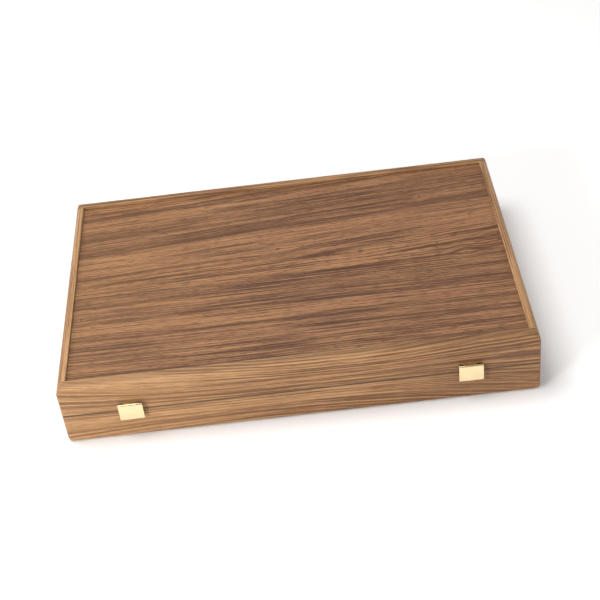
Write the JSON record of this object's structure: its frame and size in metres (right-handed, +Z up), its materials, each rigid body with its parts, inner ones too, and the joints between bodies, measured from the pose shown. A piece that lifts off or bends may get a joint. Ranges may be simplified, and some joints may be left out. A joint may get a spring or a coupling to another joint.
{
  "type": "backgammon set",
  "caption": "Folding wooden backgammon case that opens flat into a board, with two box latches, hinges and playing pieces inside.",
  "frame": {"origin": "on the surface that the shut case stands on, under the middle of its bounding box", "axes": "+X along the case to the right, +Y from the latches at the front to the hinges at the back, +Z up"},
  "size_m": [0.48, 0.3274, 0.072],
  "materials": {
    "rail_walnut": "satin lacquered walnut veneer",
    "panel_veneer": "satin lacquered walnut veneer",
    "field_veneer": "satin lacquered veneer",
    "pale_wood": "satin lacquered maple",
    "dark_wood": "satin stained wood",
    "brass": "pale plated brass, fine wear",
    "ivory_plastic": "gloss",
    "brown_plastic": "gloss"
  },
  "bodies": {
    "base": {"base_front_rail": "rail_walnut", "base_back_rail": "rail_walnut", "base_left_rail": "rail_walnut", "base_right_rail": "rail_walnut", "base_panel": "panel_veneer", "base_field": "field_veneer", "base_light_points": "pale_wood", "base_dark_points": "dark_wood", "base_rack_divider": "rail_walnut", "left_hinge_lower_leaf": "brass", "left_hinge_pin": "brass", "middle_hinge_lower_leaf": "brass", "middle_hinge_pin": "brass", "right_hinge_lower_leaf": "brass", "right_hinge_pin": "brass", "base_hinge_screws": "brass", "left_latch_catch": "brass", "right_latch_catch": "brass", "base_latch_nails": "brass", "light_chequers": "pale_wood", "dark_chequers": "dark_wood", "light_dice": "ivory_plastic", "dark_dice": "brown_plastic", "doubling_cube": "ivory_plastic"},
    "lid": {"lid_front_rail": "rail_walnut", "lid_back_rail": "rail_walnut", "lid_left_rail": "rail_walnut", "lid_right_rail": "rail_walnut", "lid_panel": "panel_veneer", "lid_field": "field_veneer", "lid_light_points": "pale_wood", "lid_dark_points": "dark_wood", "lid_rack_divider": "rail_walnut", "left_hinge_upper_leaf": "brass", "middle_hinge_upper_leaf": "brass", "right_hinge_upper_leaf": "brass", "lid_hinge_screws": "brass", "left_latch_bracket": "brass", "right_latch_bracket": "brass", "left_latch_pin": "brass", "right_latch_pin": "brass", "lid_latch_nails": "brass"},
    "left_latch": {"left_latch_cover": "brass"},
    "right_latch": {"right_latch_cover": "brass"}
  },
  "joints": [
    {"name": "lid_hinge", "type": "hinge", "parent": "base", "child": "lid", "pos_m": [0, 0.1613, 0.036], "axis": [-1, 0, 0], "range_deg": [0, 180]},
    {"name": "left_latch_turn", "type": "hinge", "parent": "lid", "child": "left_latch", "pos_m": [-0.17, -0.16195, 0.0445], "axis": [-1, 0, 0], "range_deg": [0, 100]},
    {"name": "right_latch_turn", "type": "hinge", "parent": "lid", "child": "right_latch", "pos_m": [0.17, -0.16195, 0.0445], "axis": [-1, 0, 0], "range_deg": [0, 100]}
  ]
}
